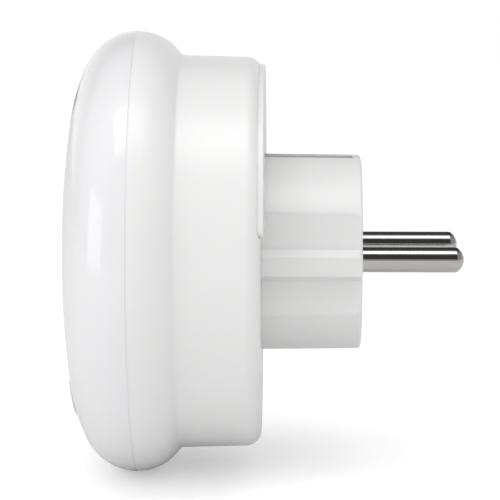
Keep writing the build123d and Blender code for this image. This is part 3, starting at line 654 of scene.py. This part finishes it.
def makeBatterySprings():
    tree, given = startTree("batterySpring", coilSizes + (
        "Foot Radius", "Foot Thickness", "Lead Radius", "Lead Length"))
    foot = cylinder(tree, batterySpring["footSides"], given["Foot Radius"], given["Foot Thickness"])
    foot = moved(tree, foot, times(tree, given["Foot Thickness"], 0.5))
    lead = cylinder(tree, batterySpring["leadSides"], given["Lead Radius"], given["Lead Length"])
    lead = moved(tree, lead, times(tree, given["Lead Length"], -0.5))
    whole = joinAll(tree, (coilNodes(tree, given), foot, lead))
    endCopies(tree, given, turned(tree, whole, (0, math.pi / 2, 0)))
    points = []
    for low, high in islandBoxes("battery_springs"):
        seat = high.x - batterySpring["height"]
        points.append((seat, (low.y + high.y) / 2, (low.z + high.z) / 2))
    values = {
        "Start Radius": batterySpring["footCoil"], "End Radius": batterySpring["topCoil"],
        "Wire": batterySpring["wire"], "Length": batterySpring["height"],
        "Turns": batterySpring["turns"], "Closing": 0.0,
        "Foot Radius": batterySpring["footRadius"], "Foot Thickness": batterySpring["footThickness"],
        "Lead Radius": batterySpring["leadRadius"], "Lead Length": seat - low.x,
        "Finish": finishes["springSteel"],
    }
    growPiece(
        "batterySprings", tree, points, values, "housing", "battery_springs")


makeShutterSpring()
makeBatterySprings()
print("springs made")


# Pins: round pieces turned about their own axis, from stations with a girth each

pin = {
    "radius": 2.4 * mm, "tipSphere": 2.75 * mm, "seatRadius": 2.6 * mm, "seatDepth": 3.0 * mm,
    "collarRadius": 3.4 * mm, "collarDepth": 1.6 * mm, "tailRadius": 1.6 * mm, "edge": 0.12 * mm,
    "tipEdge": 0.35 * mm, "tipSteps": 14, "cornerSteps": 4, "step": 0.004 * mm, "sides": 96,
    "pole": 0.0002 * mm, "weld": 0.0015 * mm,
}


def makeTurnedTree():
    tree, given = startTree("turnedPiece", (), ("Sides",))
    path = wire(tree, "GeometryNodeMeshToCurve", {"Mesh": given["Geometry"]})
    skin = sweep(tree, path["Curve"], given["Sides"], 1.0, attribute(tree, "girth"))
    endTree(tree, welded(tree, skin, pin["weld"]), given["Finish"])
    return tree


def pinStations(low, high):
    edge, step, tail, wide = pin["edge"], pin["step"], pin["tailRadius"], pin["collarRadius"]
    seat = -pin["seatDepth"]
    collar = seat - pin["collarDepth"]
    stations = [
        (low.x, 0), (low.x, tail - edge), (low.x + edge, tail), (collar - step, tail),
        (collar, wide - edge), (collar + edge, wide), (seat - edge, wide), (seat, wide - edge),
        (seat + step, pin["seatRadius"]), (-step, pin["seatRadius"]), (0, pin["radius"])]
    # The tip's sphere starts where it meets the shaft, with the corner between them rounded
    centre = high.x - pin["tipSphere"]
    meet = math.asin(pin["radius"] / pin["tipSphere"])
    corner = (centre + pin["tipSphere"] * math.cos(meet), pin["radius"])
    turns = [meet * (1 - share / pin["tipSteps"]) for share in range(1, pin["tipSteps"] + 1)]
    arc = [(centre + pin["tipSphere"] * math.cos(turn), pin["tipSphere"] * math.sin(turn))
           for turn in turns]
    before, after = (corner[0] - pin["tipEdge"], pin["radius"]), arc[0]
    for index in range(pin["cornerSteps"]):
        share = index / pin["cornerSteps"]
        stations.append(tuple(
            before[i] * (1 - share) ** 2 + 2 * corner[i] * share * (1 - share)
            + after[i] * share ** 2 for i in (0, 1)))
    return stations + arc[:-1] + [(high.x, 0)]


turnedTree = makeTurnedTree()
for node, name in (("line_pin", "linePin"), ("neutral_pin", "neutralPin")):
    low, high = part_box(node)
    middle = (low + high) / 2
    stations = pinStations(low, high)
    points = [(x, middle.y, middle.z) for x, girth in stations]
    edges = [(index, index + 1) for index in range(len(stations) - 1)]
    girths = [max(girth, pin["pole"]) for x, girth in stations]
    values = {"Sides": pin["sides"], "Finish": finishes["nickel"]}
    growPiece(name, turnedTree, points, values, "housing", node, {"girth": girths}, edges)
print("pins made")


# A fine bead lies in the seam's groove, flush with the rear housing

seamBead = {"radius": 41.52 * mm, "bead": 0.14 * mm, "ahead": 0.1 * mm, "steps": 288, "sides": 12}


def makeSeamBead():
    tree, given = startTree("seamBead", ("Radius", "Bead"), ("Steps", "Sides"))
    path = wire(tree, "GeometryNodeCurvePrimitiveCircle", {
        "Resolution": given["Steps"], "Radius": given["Radius"]})
    ring = sweep(tree, path["Curve"], given["Sides"], given["Bead"], caps=False)
    endCopies(tree, given, turned(tree, ring, (0, math.pi / 2, 0)))
    values = {
        "Radius": seamBead["radius"], "Bead": seamBead["bead"], "Steps": seamBead["steps"],
        "Sides": seamBead["sides"], "Finish": finishes["housingWhite"],
    }
    place = (dome["seam"] - seamBead["ahead"], 0, 0)
    growPiece("seamBead", tree, [place], values, "housing")


makeSeamBead()
print("seam made")


# Display: bar-shaped segments on the glass, in leaning digits with a load scale under them

display = {
    "reading": "230.4", "digitWidth": 2.5 * mm, "digitHeight": 4.1 * mm, "pitch": 4.1 * mm,
    "barWidth": 0.6 * mm, "barGap": 0.12 * mm, "thickness": 0.04 * mm, "pointLength": 1.3,
    "lean": 7, "middle": 28.75 * mm, "scaleTicks": 14, "scalePitch": 1.1 * mm,
    "scaleHeight": 25.45 * mm, "tickLength": 0.8 * mm, "weld": 0.001 * mm,
}
segmentsOfDigit = {
    "0": "abcdef", "1": "bc", "2": "abged", "3": "abgcd", "4": "fgbc",
    "5": "afgcd", "6": "afgedc", "7": "abc", "8": "abcdefg", "9": "abcdfg",
}


def segmentPlaces(column):
    # Middle of each segment and its turn in degrees, for a digit at this place across
    width, half = display["digitWidth"], display["digitHeight"] / 2
    quarter = half / 2
    return {
        "a": (column, half, 0), "g": (column, 0, 0), "d": (column, -half, 0),
        "f": (column - width / 2, quarter, 90), "b": (column + width / 2, quarter, 90),
        "e": (column - width / 2, -quarter, 90), "c": (column + width / 2, -quarter, 90),
    }


def readingBars():
    # Each bar as its place across and up, its turn in degrees and its length
    bars = []
    digits = display["reading"].replace(".", "")
    start = -(len(digits) - 1) / 2 * display["pitch"]
    for index, digit in enumerate(digits):
        places = segmentPlaces(start + index * display["pitch"])
        for letter in segmentsOfDigit[digit]:
            across, up, turn = places[letter]
            length = display["digitHeight"] / 2 if turn else display["digitWidth"]
            bars.append((across, up, turn, length - display["barGap"]))
    before = display["reading"].index(".")
    point = start + (before - 0.5) * display["pitch"]
    pointLength = display["barWidth"] * display["pointLength"]
    bars.append((point, -display["digitHeight"] / 2, 0, pointLength))
    lean = math.tan(math.radians(display["lean"]))
    bars = [(across + up * lean, up, turn, length) for across, up, turn, length in bars]
    ticks = display["scaleTicks"]
    for index in range(ticks):
        across = (index - (ticks - 1) / 2) * display["scalePitch"]
        up = display["scaleHeight"] - display["middle"]
        bars.append((across, up, 90, display["tickLength"]))
    return bars


def makeReading():
    tree, given = startTree("displaySegments", ("Bar Width", "Thickness"))
    outline = wire(tree, "GeometryNodeCurvePrimitiveQuadrilateral", {
        "Width": 1.0, "Height": given["Bar Width"]})
    filled = wire(tree, "GeometryNodeFillCurve", {"Curve": outline["Curve"]})
    raised = wire(tree, "GeometryNodeExtrudeMesh", {
        "Mesh": filled["Mesh"], "Offset Scale": given["Thickness"], "Individual": False})
    flipped = wire(tree, "GeometryNodeFlipFaces", {"Mesh": filled["Mesh"]})
    closed = welded(tree, joinAll(tree, (raised["Mesh"], flipped["Mesh"])), display["weld"])
    endCopies(tree, given, closed, {
        "Rotation": vector(tree, z=attribute(tree, "turn")),
        "Scale": vector(tree, attribute(tree, "length"), 1.0, 1.0)})
    bars = readingBars()
    points = [(across, up, 0) for across, up, turn, length in bars]
    attributes = {"turn": [math.radians(bar[2]) for bar in bars], "length": [bar[3] for bar in bars]}
    values = {
        "Bar Width": display["barWidth"], "Thickness": display["thickness"],
        "Finish": finishes["displayInk"],
    }
    piece = growPiece("displayReading", tree, points, values, "housing",
                      attributes=attributes)
    # The digits are drawn flat, then stood up on the glass, read from the front
    low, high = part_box("lcd_glass")
    for vertex in piece.data.vertices:
        across, up, out = vertex.co
        vertex.co = (low.x - out, -across, up + display["middle"])


makeReading()
print("display made")


# Marks on the buttons: an arrow up, an arrow down and a ring, laid on the domed caps

marks = {
    "proud": 0.3 * mm, "lift": 0.025 * mm, "sink": 0.05 * mm, "size": 1.35 * mm, "line": 0.38 * mm,
    "arrowHeight": 1.5, "arrowTip": 0.02 * mm, "arrowSteps": 6, "ringSteps": 40, "weld": 0.002 * mm,
}


def capStation(y, z):
    # The caps follow the dome, moved outwards by their height
    radius = math.hypot(y, z)
    rim, shoulder, crown = outerArcs
    onCrown = radius < (crown[2] + marks["proud"]) * math.sin(crownTurn)
    centreX, centreRadius, arc = crown if onCrown else shoulder
    return centreX - math.sqrt((arc + marks["proud"]) ** 2 - (radius - centreRadius) ** 2)


def makeMark(name, body, strip):
    # A strip is a row of pairs of places, and becomes a thin closed bar that follows the cap
    work = bmesh.new()
    rows = []
    for pair in strip:
        row = []
        for y, z in pair:
            x = capStation(y, z)
            row.append((work.verts.new((x - marks["lift"], y, z)),
                        work.verts.new((x + marks["sink"], y, z))))
        rows.append(row)
    for before, after in zip(rows, rows[1:]):
        for side in (0, 1):
            work.faces.new((before[0][side], before[1][side], after[1][side], after[0][side]))
        for end in (0, 1):
            work.faces.new((before[end][0], after[end][0], after[end][1], before[end][1]))
    if strip[0] != strip[-1]:
        for row in (rows[0], rows[-1]):
            work.faces.new((row[0][0], row[1][0], row[1][1], row[0][1]))
    bmesh.ops.remove_doubles(work, verts=work.verts, dist=marks["weld"])
    bmesh.ops.recalc_face_normals(work, faces=work.faces)
    mesh = bpy.data.meshes.new(name)
    work.to_mesh(mesh)
    work.free()
    mesh.materials.append(finishes["markGrey"])
    addPiece(name, mesh, body)


def arrowStrip(y, z, direction):
    size, steps = marks["size"], marks["arrowSteps"]
    strip = []
    for step in range(steps + 1):
        share = step / steps
        half = size * (1 - share) + marks["arrowTip"]
        level = z + direction * size * marks["arrowHeight"] * (share - 0.5)
        strip.append(((y - half, level), (y + half, level)))
    return strip


def ringStrip(y, z):
    outer, steps = marks["size"], marks["ringSteps"]
    inner = outer - marks["line"]
    strip = []
    for step in range(steps + 1):
        angle = 2 * math.pi * (step % steps) / steps
        turn = Vector((math.cos(angle), math.sin(angle)))
        strip.append(tuple((y + radius * turn.x, z + radius * turn.y) for radius in (inner, outer)))
    return strip


for button, direction in (("mode", 0), ("up", 1), ("down", -1)):
    low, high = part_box(button + "_plunger")
    y, z = (low.y + high.y) / 2, (low.z + high.z) / 2
    strip = arrowStrip(y, z, direction) if direction else ringStrip(y, z)
    makeMark(button + "Mark", button + "_button", strip)
print("button marks made")


# Stage, light and camera

studio = {
    "floorColour": (0.82, 0.82, 0.82), "floorGlow": 0.36, "floorReach": 6.0,
    "diffuseFar": 0.42, "diffuseNear": 1.16, "brightSide": (-0.4, -0.9, -0.1),
    # Angle round the long axis, and the level that a reflection sees there
    "reflections": ((-180, 0.95), (-90, 0.7), (0, 0.5), (10, 0.35), (15, 0.05), (50, 0.05),
                    (60, 0.4), (94, 0.5), (104, 0.07), (148, 0.05), (164, 0.6), (180, 0.95)),
    "endLevel": 0.4, "endSpan": (0.6, 0.85),
    "cameraPlace": (-0.01396, -0.448, 0.0722), "cameraAim": (-0.02096, 0, 0.00022),
    "lens": 171.7, "sensor": 36,
}
lamps = {  # place, aim, width, height and power
    "topBox": ((0, -0.23, 0.87), (-0.02, 0, 0), 0.9, 0.42, 2.3),
    "leftBox": ((-0.8, -0.33, 0.1), (-0.04, 0, 0), 0.46, 0.5, 0.95),
}


def seenDirectly(tree):
    # 1 for what the camera sees, also through glass, and 0 for light and reflections
    path = wire(tree, "ShaderNodeLightPath")
    return calc(tree, "MAXIMUM", path["Is Camera Ray"], path["Is Transmission Ray"])


def mixLevels(tree, factor, first, second):
    return wire(tree, "ShaderNodeMix", {
        "Factor": factor, "A": first, "B": second}, data_type="FLOAT")["Result"]


def makeFloor():
    half, level = studio["floorReach"], cadBox[0].z
    corners = [(-half, -half, level), (half, -half, level), (half, half, level), (-half, half, level)]
    mesh = bpy.data.meshes.new("floor")
    mesh.from_pydata(corners, [], [(0, 1, 2, 3)])
    floor = bpy.data.objects.new("floor", mesh)
    scene.collection.objects.link(floor)
    material, tree, shader = startMaterial("floorPaper")
    feed(tree, shader, {
        "Base Color": (*studio["floorColour"], 1), "Roughness": 1.0, "Specular IOR Level": 0.0,
        "Emission Color": (1, 1, 1, 1),
        "Emission Strength": times(tree, seenDirectly(tree), studio["floorGlow"]),
    })
    mesh.materials.append(material)


def reflectionLevel(tree, axes):
    # Reflections see a studio round the object's long axis: from the near side's horizon
    # upwards, over the top and down to the white background behind
    turn = calc(tree, "ARCTAN2", axes["Z"], times(tree, axes["Y"], -1))
    around = tree.nodes.new("ShaderNodeValToRGB")
    ramp, stops = around.color_ramp, studio["reflections"]
    while len(ramp.elements) < len(stops):
        ramp.elements.new(0.5)
    for element, (angle, level) in zip(ramp.elements, stops):
        element.position = (angle + 180) / 360
        element.color = (level, level, level, 1)
    feed(tree, around, {"Fac": remap(tree, turn, 0, 1, -math.pi, math.pi)})
    aside = remap(tree, calc(tree, "ABSOLUTE", axes["X"]), 0, 1, *studio["endSpan"])
    return mixLevels(tree, aside, around.outputs["Color"], studio["endLevel"])


def makeWorld():
    world = bpy.data.worlds.new("studio")
    scene.world = world
    world.use_nodes = True
    tree = world.node_tree
    toward = wire(tree, "ShaderNodeTexCoord")["Generated"]
    axes = wire(tree, "ShaderNodeSeparateXYZ", {"Vector": toward})
    # Diffuse light falls off evenly from the near left side to the far right
    facing = wire(tree, "ShaderNodeVectorMath", {
        0: toward, 1: Vector(studio["brightSide"]).normalized()}, operation="DOT_PRODUCT")["Value"]
    diffuse = remap(tree, facing, studio["diffuseFar"], studio["diffuseNear"], -1, 1)
    glossy = wire(tree, "ShaderNodeLightPath")["Is Glossy Ray"]
    level = mixLevels(tree, glossy, diffuse, reflectionLevel(tree, axes))
    feed(tree, tree.nodes["Background"], {
        "Color": (1, 1, 1, 1), "Strength": mixLevels(tree, seenDirectly(tree), level, 1.0)})


def aimed(item, place, aim):
    item.location = place
    item.rotation_euler = (Vector(aim) - Vector(place)).to_track_quat("-Z", "Y").to_euler()
    scene.collection.objects.link(item)
    return item


makeFloor()
makeWorld()
for name, (place, aim, width, height, power) in lamps.items():
    light = bpy.data.lights.new(name, "AREA")
    light.shape = "RECTANGLE"
    light.size = width
    light.size_y = height
    light.energy = power
    aimed(bpy.data.objects.new(name, light), place, aim)
view = bpy.data.cameras.new("camera")
view.lens = studio["lens"]
view.sensor_width = studio["sensor"]
camera = aimed(bpy.data.objects.new("camera", view), studio["cameraPlace"], studio["cameraAim"])
scene.camera = camera
scene.view_settings.view_transform = "Standard"
print("stage made")
